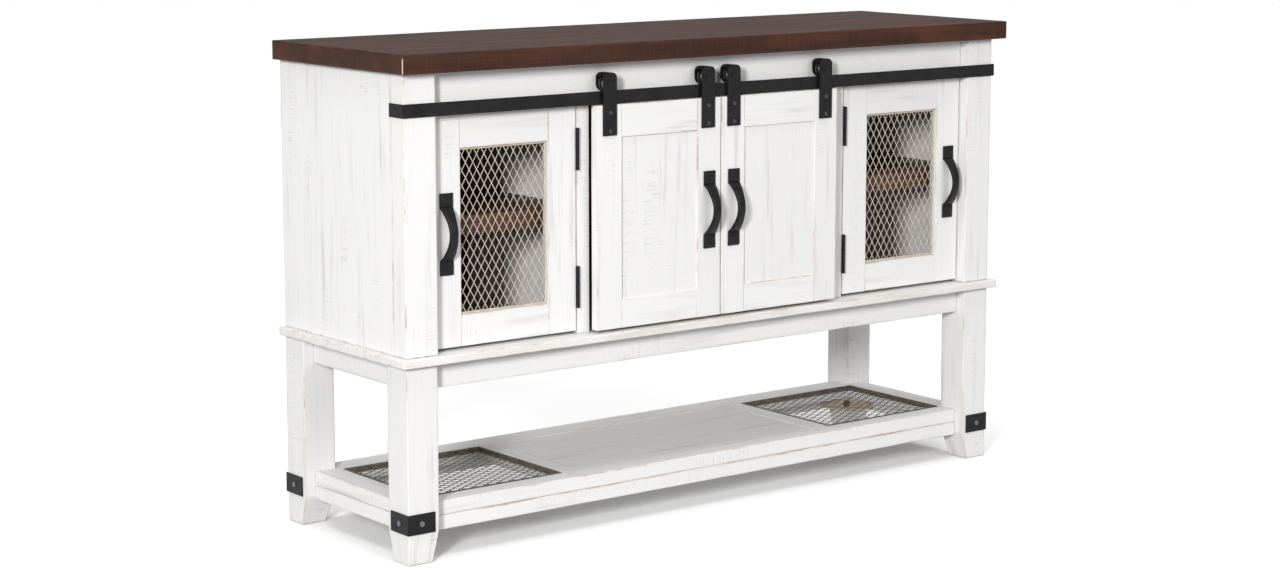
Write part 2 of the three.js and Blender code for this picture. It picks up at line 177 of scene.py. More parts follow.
def painted_board():
    """White paint over wood: brush marks, grey streaks, saw marks, edges worn to the wood."""
    s = Shade("distressed_white_paint")
    grain = s.attribute("grain", "Vector")
    edge = s.attribute("edge", "Fac")
    tone = s.attribute("tone", "Fac")
    brush = s.noise(s.stretch(grain, 5, 330, 330), detail=2)
    streak = s.noise(s.stretch(grain, 3.6, 62, 62), detail=4, rough=0.58)
    cloud = s.noise(s.stretch(grain, 3.2, 16, 16), detail=3)
    patch = s.noise(s.stretch(grain, 4.5, 26, 26), detail=3)
    saw = s.noise(s.stretch(grain, 300, 26, 26), detail=2, rough=0.7)
    wander = s.noise(s.stretch(grain, 11, 50, 50), detail=4, rough=0.65)
    flake = s.noise(s.stretch(grain, 150, 500, 500), detail=2)

    color = s.mix(s.ramp(tone, 0, 1), (0.70, 0.697, 0.69), (0.67, 0.666, 0.655))
    grey = s.math("MULTIPLY", s.ramp(streak, 0.5, 0.74), s.ramp(cloud, 0.36, 0.66))
    color = s.mix(s.math("MULTIPLY", grey, 0.8), color, (0.50, 0.49, 0.475))
    ticks = s.math("MULTIPLY", s.ramp(saw, 0.53, 0.66), s.ramp(patch, 0.54, 0.68))
    color = s.mix(s.math("MULTIPLY", ticks, 0.4), color, (0.42, 0.41, 0.39))
    color = s.mix(s.math("MULTIPLY", s.ramp(brush, 0.5, 0.75), 0.13), color, (0.50, 0.485, 0.46))
    tan = s.math("MULTIPLY", s.ramp(streak, 0.36, 0.2), s.ramp(patch, 0.5, 0.34))
    color = s.mix(s.math("MULTIPLY", tan, 0.42), color, (0.55, 0.47, 0.38))

    glow = s.math("MULTIPLY", s.ramp(edge, 0.006, 0.0005), s.ramp(wander, 0.36, 0.66))
    color = s.mix(s.math("MULTIPLY", glow, 0.5), color, (0.56, 0.475, 0.39))
    reach = s.ramp(wander, 0.48, 0.8, 0.0, 0.0034)
    worn = s.ramp(s.math("SUBTRACT", edge, reach), 0.0006, -0.0008)
    worn = s.math("MULTIPLY", worn, s.ramp(flake, 0.3, 0.5))
    wood = s.mix(s.ramp(cloud, 0.42, 0.62), (0.39, 0.262, 0.185), (0.25, 0.152, 0.104))
    color = s.mix(s.math("MULTIPLY", worn, 0.78), color, wood)

    height = s.math("ADD", s.math("MULTIPLY", brush, 0.5), s.math("MULTIPLY", streak, 0.6))
    height = s.math("ADD", height, s.math("MULTIPLY", ticks, -0.6))
    height = s.math("ADD", height, s.math("MULTIPLY", worn, -0.5))
    normal = s.bump(height, 0.45, 0.0006)
    return s.done(color, s.ramp(streak, 0.3, 0.7, 0.46, 0.62), normal, Specular_IOR_Level=0.35)


def stained_board(name, dark, light, red, gloss, shine):
    """Stained wood with figure between dark and light, reddish zones and saw marks."""
    s = Shade(name)
    grain = s.attribute("grain", "Vector")
    edge = s.attribute("edge", "Fac")
    tone = s.attribute("tone", "Fac")
    bare = s.attribute("bare", "Fac")
    figure = s.noise(s.stretch(grain, 1.6, 34, 34), detail=5, rough=0.6, warp=0.6)
    fine = s.noise(s.stretch(grain, 9, 420, 420), detail=3)
    saw = s.noise(s.stretch(grain, 330, 12, 12), detail=2, rough=0.7)
    zone = s.noise(s.stretch(grain, 5, 20, 20), detail=3)
    wander = s.noise(s.stretch(grain, 22, 60, 60), detail=3)

    color = s.mix(s.ramp(figure, 0.34, 0.68), dark, light)
    color = s.mix(s.math("MULTIPLY", s.ramp(tone, 0, 1), 0.4), color, dark)
    color = s.mix(s.math("MULTIPLY", s.ramp(zone, 0.42, 0.74), 0.55), color, red)
    color = s.mix(s.math("MULTIPLY", s.ramp(saw, 0.5, 0.66), 0.3), color, times(light, 1.7))
    color = s.mix(s.math("MULTIPLY", s.ramp(fine, 0.52, 0.7), 0.45), color, times(dark, 0.4))
    rub = s.math("MULTIPLY", s.ramp(edge, 0.004, 0.0005), s.ramp(wander, 0.5, 0.7))
    color = s.mix(s.math("MULTIPLY", rub, 0.3), color, times(red, 1.6))
    color = s.mix(s.math("MULTIPLY", bare, s.ramp(wander, 0.3, 0.42)), color, (0.66, 0.54, 0.42))
    height = s.math("ADD", s.math("MULTIPLY", saw, 0.7), s.math("MULTIPLY", fine, 0.4))
    height = s.math("ADD", height, s.math("MULTIPLY", figure, 0.5))
    normal = s.bump(height, 0.4, 0.0005)
    return s.done(color, s.ramp(figure, 0.3, 0.7, gloss, gloss + 0.12), normal,
                  Specular_IOR_Level=shine)


def black_metal(name, gloss, shine, dark=(0.0055, 0.0052, 0.0058), light=(0.0105, 0.0098, 0.0105)):
    """Black steel with shallow dents. gloss is its lowest roughness."""
    s = Shade(name)
    place = s.place()
    dent = s.noise(place, 120, 2)
    fine = s.noise(place, 900, 2)
    cloud = s.noise(place, 28, 3)
    color = s.mix(s.ramp(cloud, 0.3, 0.7), dark, light)
    color = s.mix(s.math("MULTIPLY", s.ramp(fine, 0.62, 0.75), 0.4), color, times(light, 2.6))
    height = s.math("ADD", dent, s.math("MULTIPLY", fine, 0.15))
    return s.done(color, s.ramp(cloud, 0.3, 0.7, gloss, gloss + 0.14), s.bump(height, 0.35, 0.0012),
                  Specular_IOR_Level=shine)


def wire_metal(name, pale, dull, metal):
    """Plated or lacquered wire that varies between pale and dull."""
    s = Shade(name)
    place = s.place()
    cloud = s.noise(place, 60, 3)
    fine = s.noise(place, 1100, 2)
    color = s.mix(s.ramp(cloud, 0.35, 0.65), pale, dull)
    color = s.mix(s.math("MULTIPLY", s.ramp(fine, 0.6, 0.75), 0.3), color, times(dull, 0.5))
    return s.done(color, s.ramp(cloud, 0.3, 0.7, 0.34, 0.5), s.bump(fine, 0.2, 0.0003),
                  Metallic=metal)


WHITE = painted_board()
WALNUT = stained_board("walnut_stain", (0.024, 0.0082, 0.0042), (0.047, 0.0165, 0.0085),
                       (0.088, 0.026, 0.0105), 0.44, 0.16)
INNER = stained_board("inner_brown_stain", (0.045, 0.021, 0.012), (0.085, 0.040, 0.022),
                      (0.15, 0.062, 0.030), 0.5, 0.25)
RAW = stained_board("raw_pine", (0.36, 0.29, 0.21), (0.46, 0.385, 0.29), (0.42, 0.33, 0.24), 0.55,
                    0.3)
BLACK = black_metal("satin_black_steel", 0.36, 0.16)
TURNED = black_metal("turned_black_steel", 0.2, 0.6)
SCREW = black_metal("rubbed_screw_steel", 0.26, 0.6, (0.05, 0.048, 0.047),
                    (0.13, 0.125, 0.12))
PALE_WIRE = wire_metal("champagne_wire", (0.56, 0.49, 0.41), (0.46, 0.395, 0.325), 0.3)
BRONZE_WIRE = wire_metal("bronze_wire", (0.11, 0.092, 0.07), (0.075, 0.062, 0.048), 0.3)

# ---------- pieces ----------


def finish_piece(name, verts, faces, material, body, slot, attributes=(), smooth=True):
    """A mesh object from lists, with its point attributes (name, kind, values), riding on its
    body."""
    mesh = bpy.data.meshes.new(name)
    mesh.from_pydata([tuple(v) for v in verts], [], faces)
    mesh.validate()
    for key, kind, values in attributes:
        layer = mesh.attributes.new(key, kind, "POINT")
        field = "vector" if kind == "FLOAT_VECTOR" else "value"
        layer.data.foreach_set(field, np.asarray(values, np.float32).ravel())
    mesh.polygons.foreach_set("use_smooth", [smooth] * len(mesh.polygons))
    mesh.materials.append(material)
    piece = bpy.data.objects.new(name, mesh)
    bpy.context.scene.collection.objects.link(piece)
    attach(piece, body)
    return piece


def grid_lines(low, high, radius, band, step, extra=()):
    """Where a board's surface is cut along one axis: rounded edges, worn bands, even steps."""
    near = [0, radius * (1 - math.tan(math.pi / 8)), radius]
    if (high - low) / 2 > (radius + band) * 1.1:
        near.append(radius + band)
    left = [low + d for d in near]
    right = [high - d for d in reversed(near)]
    span = right[0] - left[-1]
    count = max(1, math.ceil(span / step))
    middle = [left[-1] + span * i / count for i in range(1, count)]
    middle += [e for e in extra if left[-1] + 0.001 < e < right[0] - 0.001]
    return sorted(left + middle + right)


class Boards:
    """Boards collected into one piece, each a box with eased, slightly uneven edges."""

    def __init__(self, node, material, slot):
        self.node, self.material, self.slot = node, material, slot
        self.verts, self.faces = [], []
        self.edge, self.grain, self.tone, self.bare = [], [], [], []
        self.count = 0

    def add(self, x, y, z, length="x", radius=1.5, band=6, step=45, wobble=0.2, shape=None,
            extra_z=(), bare=None, joined=False):
        """One more board. x, y, z are (low, high) in millimetres, and length is the axis that the
        grain follows. The ends of a joined board meet other boards, so they don't wear."""
        lows = [a[0] * MM for a in (x, y, z)]
        highs = [a[1] * MM for a in (x, y, z)]
        r = min(radius * MM, *(0.45 * (h - l) for l, h in zip(lows, highs)))
        lines = [grid_lines(l, h, r, band * MM, step * MM, extra_z if k == 2 else ())
                 for k, (l, h) in enumerate(zip(lows, highs))]
        sizes = [len(a) for a in lines]
        code = sum(map(ord, self.node))
        seed = Vector((7.3 * self.count + len(self.node) * 1.7, 3.1 * self.count, 11.9))
        shift = [((self.count * 0.37 + code * 0.113 + k * 0.41) % 1) * 3 for k in range(3)]
        tone = ((self.count + 1) * 0.618 + code * 0.07) % 1
        order = {"x": (0, 1, 2), "y": (1, 2, 0), "z": (2, 0, 1)}[length]
        index = {}

        def vertex(ijk):
            if ijk in index:
                return index[ijk]
            p = Vector([lines[k][ijk[k]] for k in range(3)])
            near = sorted(1.0 if joined and k == order[0] else min(p[k] - lows[k], highs[k] - p[k])
                          for k in range(3))
            core = Vector([min(max(p[k], lows[k] + r), highs[k] - r) for k in range(3)])
            away = p - core
            worn = 0.72 + 0.5 * noise.noise(p * 23 + seed)
            rounded = core + away.normalized() * r if away.length > 1e-9 else p
            q = p.lerp(rounded, min(1, max(0.35, worn)))
            q = q + (noise.noise_vector(p * 7 + seed) * 0.6
                     + noise.noise_vector(p * 41 + seed) * 0.4) * wobble * MM
            if shape:
                q = shape(q)
            index[ijk] = len(self.verts)
            self.verts.append(q)
            self.edge.append(min(near[1], 0.03))
            self.grain.append([p[order[k]] + shift[k] for k in range(3)])
            self.tone.append(tone)
            self.bare.append(bare(p) if bare else 0.0)
            return index[ijk]

        for k in range(3):
            a, b = (k + 1) % 3, (k + 2) % 3
            for end in (0, sizes[k] - 1):
                for i in range(sizes[a] - 1):
                    for j in range(sizes[b] - 1):
                        corners = []
                        for da, db in ((0, 0), (1, 0), (1, 1), (0, 1)):
                            c = [0, 0, 0]
                            c[k], c[a], c[b] = end, i + da, j + db
                            corners.append(vertex(tuple(c)))
                        self.faces.append(corners if end else corners[::-1])
        self.count += 1
        return self

    def done(self, name=None, body=None):
        """The piece. Without a name of its own it takes the place of its CAD node."""
        piece = finish_piece(
            name or self.node + "_boards", self.verts, self.faces, self.material,
            body or BODY_OF[self.node], self.slot,
            [("edge", "FLOAT", self.edge), ("grain", "FLOAT_VECTOR", self.grain),
             ("tone", "FLOAT", self.tone), ("bare", "FLOAT", self.bare)])
        weigh = piece.modifiers.new("normals", "WEIGHTED_NORMAL")
        weigh.weight = 80
        if name is None:
            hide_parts(self.node)


def spans(node):
    """A CAD node's box as ((x0, x1), (y0, y1), (z0, z1)) in millimetres."""
    low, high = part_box(node)
    return [(low[k] / MM, high[k] / MM) for k in range(3)]


def mirrored(s, a, b):
    """The span from a to b on the right side, or its mirror image on the left."""
    return (a, b) if s > 0 else (-b, -a)


def circle(count):
    """Evenly spaced angles around a full turn."""
    return np.linspace(0, 2 * math.pi, count, endpoint=False)


# ---------- top and ledge ----------

TOP_CORNER_R = 7
BARE_R, BARE_BELOW = 1.7, 7
top_x, top_y, top_z = spans("top_slab")


def bare_corner(p):
    """The front left arris, rubbed to pale wood below the top's upper edge."""
    away = math.hypot(p.x / MM - top_x[0], p.y / MM - top_y[0])
    return 1.0 if away < BARE_R and p.z / MM < top_z[1] - BARE_BELOW else 0.0


def rounded_plan(p, radius=TOP_CORNER_R * MM):
    """Rounds the top's upright corners."""
    core = Vector((min(max(p.x, top_x[0] * MM + radius), top_x[1] * MM - radius),
                   min(max(p.y, top_y[0] * MM + radius), top_y[1] * MM - radius)))
    away = Vector((p.x, p.y)) - core
    if away.length > radius:
        away = away.normalized() * radius
    return Vector((core.x + away.x, core.y + away.y, p.z))


Boards("top_slab", WALNUT, "dark_wood").add(
    top_x, top_y, top_z, "x", radius=4, band=6, step=30, wobble=0.5, shape=rounded_plan,
    bare=bare_corner).done()
Boards("waist_ledge", WHITE, "white_paint").add(
    *spans("waist_ledge"), "x", radius=3, band=7, step=35, wobble=0.4).done()
Boards("header_rail", WHITE, "white_paint").add(*spans("header_rail"), "x", radius=1).done()
Boards("back_panel", INNER, "inner_wood").add(*spans("back_panel"), "x", radius=1).done()

# ---------- cabinet ends, partitions, shelves ----------

POST_W, POST_D, SIDE_T = 70, 42, 18
STILE_W, STILE_D, PARTITION_T = 28.5, 20, 18
SHELF_EDGE_D, SHELF_EDGE_H, SHELF_T = 20, 36, 16
SEAM, SIDE_SET_IN = 0.2, 0.4

for side, s in SIDES:
    node = f"cabinet_end_{side}"
    (x0, x1), (y0, y1), z = spans(node)
    out = x0 if s < 0 else x1
    boards = Boards(node, WHITE, "white_paint")
    boards.add(sorted((out, out - s * POST_W)), (y0, y0 + POST_D), z, "z", radius=2.6, step=30)
    boards.add(sorted((out - s * SIDE_SET_IN, out - s * SIDE_T)), (y0 + POST_D + SEAM, y1), z,
               "z", radius=1.2)
    boards.done()

    node = f"partition_{side}"
    (x0, x1), (y0, y1), z = spans(node)
    inner, outer = (x1, x0) if s < 0 else (x0, x1)
    header_z = spans("header_rail")[2][0]
    boards = Boards(node, WHITE, "white_paint")
    boards.add(sorted((outer, outer - s * STILE_W)), (y0, y0 + STILE_D), (z[0], header_z), "z",
               radius=1.2)
    boards.add(sorted((inner, inner + s * PARTITION_T)), (y0 + STILE_D + SEAM, y1), z, "z",
               radius=0.8)
    boards.done()

    node = f"shelf_{side}"
    x, (y0, y1), (z0, z1) = spans(node)
    boards = Boards(node, INNER, "inner_wood")
    boards.add(x, (y0, y0 + SHELF_EDGE_D), (z1 - SHELF_EDGE_H, z1), "x", radius=1.5)
    boards.add(x, (y0 + SHELF_EDGE_D + SEAM, y1), (z1 - SHELF_T, z1), "x", radius=1)
    boards.done()

# ---------- legs, aprons, rails, lower shelf ----------

LEG, FOOT, TAPER_Z = 68, 52, 58
for name, (sx, sy) in LEGS.items():
    node = f"leg_{name}"
    x, y, z = spans(node)

    def tapered(p, out=(x[sx > 0] * MM, y[sy > 0] * MM)):
        """Narrows the foot towards the leg's outer arris."""
        t = max(0.0, 1 - p.z / (TAPER_Z * MM))
        k = 1 - t * (1 - FOOT / LEG)
        return Vector((out[0] + (p.x - out[0]) * k, out[1] + (p.y - out[1]) * k, p.z))

    Boards(node, WHITE, "white_paint").add(
        x, y, z, "z", radius=2.6, band=6, step=30, wobble=0.3, shape=tapered,
        extra_z=((TAPER_Z - 1) * MM, (TAPER_Z + 1) * MM)).done()

for prefix, radius in (("apron", 1.8), ("lower_rail", 1.5)):
    for end in ("front", "back", "left", "right"):
        node = f"{prefix}_{end}"
        Boards(node, WHITE, "white_paint").add(
            *spans(node), "x" if end in ("front", "back") else "y", radius=radius).done()

HOLE_IN, HOLE_OUT = 347, 667
MID_EDGE, MID_LOWER = 303, 0.6
END_LOWER, BUTT = 0.2, 0.1
shelf_x, shelf_y, shelf_z = spans("lower_shelf")
hole_y = (spans("shelf_mesh_left")[1][0] - GAP, spans("shelf_mesh_left")[1][1] + GAP)
leg_in_x = spans("leg_fr")[0][0] - GAP
leg_back_y = spans("leg_br")[1][0] - GAP
boards = Boards("lower_shelf", WHITE, "white_paint")
boards.add((-leg_in_x, leg_in_x), (shelf_y[0], hole_y[0]), shelf_z, "x", radius=2)
boards.add((-leg_in_x, leg_in_x), (hole_y[1], shelf_y[1]), shelf_z, "x", radius=2)
for side, s in SIDES:
    boards.add(mirrored(s, HOLE_OUT, shelf_x[1]), (hole_y[0] + BUTT, leg_back_y),
               (shelf_z[0] + END_LOWER, shelf_z[1] - END_LOWER), "y", radius=1.6)
    boards.add(mirrored(s, MID_EDGE, HOLE_IN), (hole_y[0] + BUTT, hole_y[1] - BUTT), shelf_z,
               "y", radius=1)
boards.add((-MID_EDGE + GAP, MID_EDGE - GAP), (hole_y[0] + GAP, hole_y[1] - GAP),
           (shelf_z[0], shelf_z[1] - MID_LOWER), "x", radius=1.2)
boards.done()

# ---------- doors ----------

JOINT = 0.35
MESH_STILE, MESH_TOP, MESH_BOTTOM = 64, 63, 59
BARN_STILE, BARN_TOP, BARN_BOTTOM, BARN_RECESS, BARN_PANEL = 59, 63, 56, 4, 12
GROOVE = 5
for side, s in SIDES:
    node = f"mesh_door_frame_{side}"
    x, y, z = spans(node)
    boards = Boards(node, WHITE, "white_paint")
    for a in (x[0], x[1] - MESH_STILE):
        boards.add((a, a + MESH_STILE), y, z, "z", radius=1.3)
    inside = (x[0] + MESH_STILE + JOINT, x[1] - MESH_STILE - JOINT)
    for rail_z in ((z[1] - MESH_TOP, z[1]), (z[0], z[0] + MESH_BOTTOM)):
        boards.add(inside, (y[0] + JOINT, y[1]), rail_z, "x", radius=0.9, joined=True)
    boards.done()

    node = f"barn_door_panel_{side}"
    x, y, z = spans(node)
    boards = Boards(node, WHITE, "white_paint")
    for a in (x[0], x[1] - BARN_STILE):
        boards.add((a, a + BARN_STILE), y, z, "z", radius=1.6)
    inside = (x[0] + BARN_STILE + JOINT, x[1] - BARN_STILE - JOINT)
    for rail_z in ((z[1] - BARN_TOP, z[1]), (z[0], z[0] + BARN_BOTTOM)):
        boards.add(inside, (y[0] + JOINT, y[1]), rail_z, "x", radius=0.9, joined=True)
    boards.add((inside[0] - GROOVE, inside[1] + GROOVE),
               (y[0] + BARN_RECESS, y[0] + BARN_RECESS + BARN_PANEL),
               (z[0] + BARN_BOTTOM - GROOVE, z[1] - BARN_TOP + GROOVE), "z", radius=0.5,
               wobble=0.4)
    boards.done()

# ---------- bars, and the expanded metal made of them ----------


def add_bar(verts, faces, rings, closed=False):
    """Joins rings of points into a tube that faces outwards, capped unless it closes on itself."""
    n = len(rings[0])
    first = len(verts)
    for ring in rings:
        verts.extend(ring)
    loops = len(rings)
    made = []
    for i in range(loops if closed else loops - 1):
        a, b = first + i * n, first + ((i + 1) % loops) * n
        for j in range(n):
            made.append((a + j, a + (j + 1) % n, b + (j + 1) % n, b + j))
    if not closed:
        made.append(tuple(first + j for j in reversed(range(n))))
        made.append(tuple(first + (loops - 1) * n + j for j in range(n)))
    volume = sum(verts[f[0]].dot(verts[f[k]].cross(verts[f[k + 1]]))
                 for f in made for k in range(1, len(f) - 1))
    faces.extend(made if volume > 0 else [f[::-1] for f in made])


def rim_rings(point, u, v, mid, out, border, height):
    """The border's section at each corner of the rectangle u by v."""
    face = mid + out * height / 2
    rings = []
    for i, j in ((0, 0), (1, 0), (1, 1), (0, 1)):
        a, b = u[i], v[j]
        c, d = a + (1 - 2 * i) * border, b + (1 - 2 * j) * border
        ea, eb = a + (c - a) * 0.75, b + (d - b) * 0.75
        rings.append([point(a, b, face - out * 0.2), point(ea, eb, face),
                      point(c, d, face - out * height * 0.2), point(c, d, mid - out * height / 2),
                      point(a, b, mid - out * height / 2)])
    return rings


def expanded_mesh(name, node, material, slot, across, along, depth, pitch, wide, thick, lean,
                  rim, out, level):
    """Expanded metal. across, along and depth are axis numbers; pitch is a diamond's short and
    long way; wide and lean hold the width and the tilt of the strands that rise towards +across
    and of those that fall; rim is the border's width and height; out is the sign of the visible
    side along the depth axis and level the height of the mesh in its node's box, from 0 to 1."""
    box = spans(node)
    (u0, u1), (v0, v1), (w0, w1) = box[across], box[along], box[depth]
    mid = w0 + (w1 - w0) * level
    count_u = round((u1 - u0) / pitch[0] * 2)
    pu = (u1 - u0) / count_u * 2
    count_v = round((v1 - v0) / pitch[1] * 2)
    pv = (v1 - v0) / count_v * 2
    verts, faces = [], []

    def point(u, v, w):
        p = [0, 0, 0]
        p[across], p[along], p[depth] = u * MM, v * MM, w * MM
        return Vector(p)

    for k in range(count_u):
        centre = u0 + (k + 0.5) * pu / 2
        rings = []
        for j in range(count_v):
            side = 1 if (j + k) % 2 else -1
            half, tilt = wide[(1 + side) // 2] / 2, lean[(1 + side) // 2]
            start = (centre + side * pu / 4, v0 + j * pv / 2)
            end = (centre - side * pu / 4, v0 + (j + 1) * pv / 2)
            du, dv = end[0] - start[0], end[1] - start[1]
            size = math.hypot(du, dv)
            nu, nv = dv / size, -du / size
            c, sn = math.cos(tilt), math.sin(tilt)
            for t in (0.05, 0.95):
                u, v = start[0] + du * t, start[1] + dv * t
                ring = []
                for a, b in ((-half, -thick / 2), (half, -thick / 2), (half, thick / 2),
                             (-half, thick / 2)):
                    flat, deep = a * c - b * sn, a * sn + b * c
                    ring.append(point(u + nu * flat, min(max(v + nv * flat, v0), v1),
                                      mid - out * deep))
                rings.append(ring)
        add_bar(verts, faces, rings)
    rings = rim_rings(point, (u0, u1), (v0, v1), mid, out, *rim)
    add_bar(verts, faces, rings, closed=True)
    piece = finish_piece(name, verts, faces, material, BODY_OF[node], slot, smooth=False)
    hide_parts(node)


for side, s in SIDES:
    expanded_mesh(f"door_wire_mesh_{side}", f"mesh_panel_{side}", PALE_WIRE, "pale_wire",
                  across=0, along=2, depth=1, pitch=(16.9, 28.7), wide=(1.8, 1.2), thick=0.8,
                  lean=(0.45, -0.5), rim=(4.0, 3.2), out=-1, level=0.5)
    expanded_mesh(f"shelf_wire_mesh_{side}", f"shelf_mesh_{side}", BRONZE_WIRE, "bronze_wire",
                  across=1, along=0, depth=2, pitch=(17.3, 28.7), wide=(1.9, 1.5), thick=0.8,
                  lean=(0.0, 0.0), rim=(4.5, 10.8), out=1, level=0.95)

# ---------- corner blocks under the lower shelf ----------

BLOCK_FACE, BLOCK_T, BLOCK_Z = 24, 20, (55, 79.4)
BOLT_DOME = ((8.0, 0.0), (8.0, 3.0), (6.8, 4.6), (4.4, 5.4), (1.5, 5.7))
rail_x = spans("lower_rail_right")[0][0] - 0.4
rail_y = {1: spans("lower_rail_back")[1][0] - 0.4, -1: spans("lower_rail_front")[1][1] + 0.4}


def corner_block(name, sx, sy):
    """A diagonal block between two rails, bolted to the inner arris of its leg."""
    x, y, _ = spans(f"leg_{name}")
    arris = Vector((x[0] if sx > 0 else x[1], y[0] if sy > 0 else y[1])) * MM
    root = Vector((sx, sy)) * (BLOCK_FACE * MM / math.sqrt(2))
    middle = arris - root
    out = Vector((sx, sy)) / math.sqrt(2)
    along = Vector((-out.y, out.x))
    half = min(abs(rail_x * MM - abs(middle.x)), abs(rail_y[sy] * MM - middle.y)) * math.sqrt(2)

    def turned(p):
        a = p.x * (half - p.y) / half
        flat = middle + along * -a + out * p.y
        return Vector((flat.x, flat.y, p.z))

    Boards(f"corner_block_{name}", RAW, "inner_wood").add(
        (-half / MM, half / MM), (0, BLOCK_T), BLOCK_Z, "x", radius=1, shape=turned
    ).done(f"corner_block_{name}", BODY_OF["lower_shelf"])
    verts, faces = [], []
    height = sum(BLOCK_Z) / 2 * MM
    rings = []
    for r, h in BOLT_DOME:
        ring = []
        for a in circle(20):
            flat = middle - out * (h * MM) + along * (r * MM * math.cos(a))
            ring.append(Vector((flat.x, flat.y, height + r * MM * math.sin(a))))
        rings.append(ring)
    add_bar(verts, faces, rings)
    finish_piece(f"corner_bolt_{name}", verts, faces, BLACK, BODY_OF["lower_shelf"],
                 "black_steel")


for name, (sx, sy) in LEGS.items():
    corner_block(name, sx, sy)

# ---------- screw heads on the brackets and straps ----------

BRACKET_SCREW_IN, BRACKET_SCREW_STAND = 27.7, 2.0
STRAP_SCREW_Z, STRAP_SCREW_STAND, STRAP_SCREW_SIZE = (780, 815), 1.6, 0.82
SCREW_DOME = ((5.5, 0.05), (5.5, 0.9), (5.0, 1.7), (3.8, 2.2), (1.9, 2.45), (1.5, 2.15))


def screw_dome(verts, faces, at, axis, sign, size=1.0):
    """A domed screw head that stands on a face across X (axis 0) or Y (axis 1)."""
    rings = []
    for r, h in SCREW_DOME:
        ring = []
        for a in circle(18):
            p = Vector(at)
            p[axis] += sign * h * size
            p[1 - axis] += r * size * math.cos(a)
            p.z += r * size * math.sin(a)
            ring.append(p * MM)
        rings.append(ring)
    add_bar(verts, faces, rings)


def bracket_screws(name, sx, sy):
    """A screw head on each arm of a corner bracket, around the CAD head."""
    leg, box = spans(f"leg_{name}"), spans(f"corner_bracket_{name}")
    z = sum(box[2]) / 2
    verts, faces = [], []
    for axis, sign in ((0, sx), (1, sy)):
        side = (sx, sy)[1 - axis]
        at = [0, 0, z]
        at[axis] = box[axis][sign > 0] - sign * BRACKET_SCREW_STAND
        at[1 - axis] = leg[1 - axis][side > 0] - side * BRACKET_SCREW_IN
        screw_dome(verts, faces, at, axis, sign)
    finish_piece(f"bracket_screws_{name}", verts, faces, SCREW,
                 BODY_OF[f"corner_bracket_{name}"], "black_steel", smooth=False)


def strap_screws(node):
    """The two screw heads of a hanger strap, around the CAD heads."""
    (x0, x1), (y0, _), _ = spans(node)
    verts, faces = [], []
    for z in STRAP_SCREW_Z:
        at = ((x0 + x1) / 2, y0 + STRAP_SCREW_STAND, z)
        screw_dome(verts, faces, at, 1, -1, STRAP_SCREW_SIZE)
    finish_piece(f"screws_{node}", verts, faces, TURNED, BODY_OF[node], "black_steel",
                 smooth=False)


for name, (sx, sy) in LEGS.items():
    bracket_screws(name, sx, sy)
for node in sorted(NODES):
    if node.startswith("hanger"):
        strap_screws(node)

# ---------- hinges ----------

KNUCKLE_R, KNUCKLE_CAD_R, KNUCKLE_CHAMFER = 3.1, 4.5, 0.5
LEAF_FROM, LEAF_TO = 0.2, 1.2
TONGUE_IN, TONGUE_BEYOND, TONGUE_SHORT = 0.6, 0.5, 0.2


def butt_hinge(node, s, fixed):
    """One leaf with its knuckles, turning about the same axis as in CAD."""
    (x0, x1), (y0, y1), (z0, z1) = spans(node)
    cx, cy, third = (x0 + x1) / 2, y0 + KNUCKLE_CAD_R, (z1 - z0) / 3
    if fixed:
        knuckles = ((z0, z0 + third - GAP), (z1 - third + GAP, z1))
    else:
        knuckles = ((z0 + third, z1 - third),)
    way = -s if fixed else s
    x_low, x_high = sorted((cx + way * LEAF_FROM, cx + way * LEAF_TO))
    leaf_y = cy + KNUCKLE_CAD_R + GAP
    verts, faces = [], []

    def plate(y_low, y_high, z_low, z_high):
        outline = ((x_low, y_low), (x_high, y_low), (x_high, y_high), (x_low, y_high))
        add_bar(verts, faces, [[Vector((x, y, z)) * MM for x, y in outline]
                               for z in (z_low, z_high)])

    plate(leaf_y, y1, z0, z1)
    for low, high in knuckles:
        small = KNUCKLE_R - KNUCKLE_CHAMFER
        profile = ((small, low), (KNUCKLE_R, low + KNUCKLE_CHAMFER),
                   (KNUCKLE_R, high - KNUCKLE_CHAMFER), (small, high))
        add_bar(verts, faces, [
            [Vector((cx + r * math.cos(a), cy + r * math.sin(a), z)) * MM for a in circle(24)]
            for r, z in profile])
        plate(cy + KNUCKLE_R - TONGUE_IN, leaf_y + TONGUE_BEYOND, low + TONGUE_SHORT,
              high - TONGUE_SHORT)
    piece = finish_piece(node + "_slim", verts, faces, BLACK, BODY_OF[node], "black_steel",
                         smooth=False)
    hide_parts(node)


for side, s in SIDES:
    for level in ("lower", "upper"):
        butt_hinge(f"hinge_{level}_{side}_fixed", s, True)
        butt_hinge(f"hinge_{level}_{side}_leaf", s, False)

# ---------- door pulls ----------

PULL_PAD, PULL_MID, PULL_THICK = 29, 17.5, 6.0
PAD_HALF, PAD_RINGS, GRIP_STEPS = 1.5, 6, 34
PULL_SECTION = ((-1, -0.6), (-0.86, -1), (-0.4, -1), (0.4, -1), (0.86, -1), (1, -0.6),
                (1, 0.5), (0.84, 0.95), (0.4, 1.05), (-0.4, 1.05), (-0.84, 0.95), (-1, 0.5))
PULL_SCREW_Y = 2.7
PULL_SCREW = ((4.6, 0.0), (4.6, 0.5), (4.1, 1.2), (2.8, 1.7), (1.6, 1.75), (1.4, 1.2))


